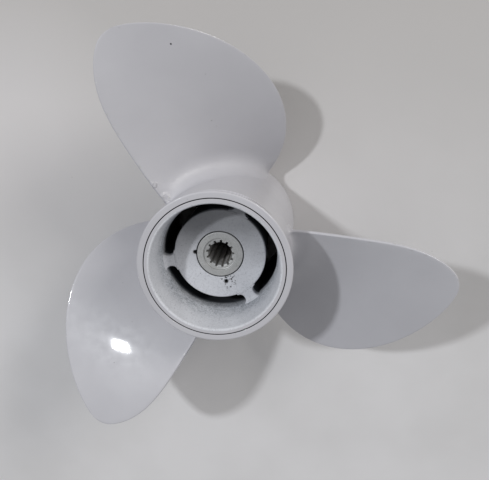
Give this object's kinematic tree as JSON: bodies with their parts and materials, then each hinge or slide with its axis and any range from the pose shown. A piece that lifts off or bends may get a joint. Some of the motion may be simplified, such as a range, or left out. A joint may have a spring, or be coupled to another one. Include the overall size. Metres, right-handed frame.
{
  "type": "boat propeller",
  "caption": "Right-hand outboard boat propeller: skewed blades on a through-hub exhaust barrel, ribbed inner hub and a rubber-mounted splined drive sleeve.",
  "frame": {"origin": "on the shaft axis, in the plane of the hub's forward face", "axes": "+Z along the shaft axis, pointing aft (to the nut end); +Y close to the first blade's root, +X to the right seen from aft"},
  "size_m": [0.2541, 0.2544, 0.107],
  "materials": {
    "painted_casting": "gloss enamel over cast aluminium, lightly worn",
    "painted_ring": "gloss enamel over an aluminium ring",
    "damper_rubber": "matt moulded rubber",
    "sleeve_bronze": "dull, dark, greased bronze"
  },
  "bodies": {
    "casting": {"outer_barrel": "painted_casting", "inner_hub": "painted_casting", "rib_1": "painted_casting", "rib_2": "painted_casting", "rib_3": "painted_casting", "blade_1": "painted_casting", "blade_2": "painted_casting", "blade_3": "painted_casting", "diffuser_ring": "painted_ring", "damper_bush": "damper_rubber"},
    "sleeve": {"splined_sleeve": "sleeve_bronze"}
  },
  "joints": [
    {"name": "damper_windup", "type": "hinge", "parent": "casting", "child": "sleeve", "pos_m": [0, 0, 0.045], "axis": [0, 0, 1], "range_deg": [-6, 6], "stiffness_Nm_per_rad": 1200}
  ]
}
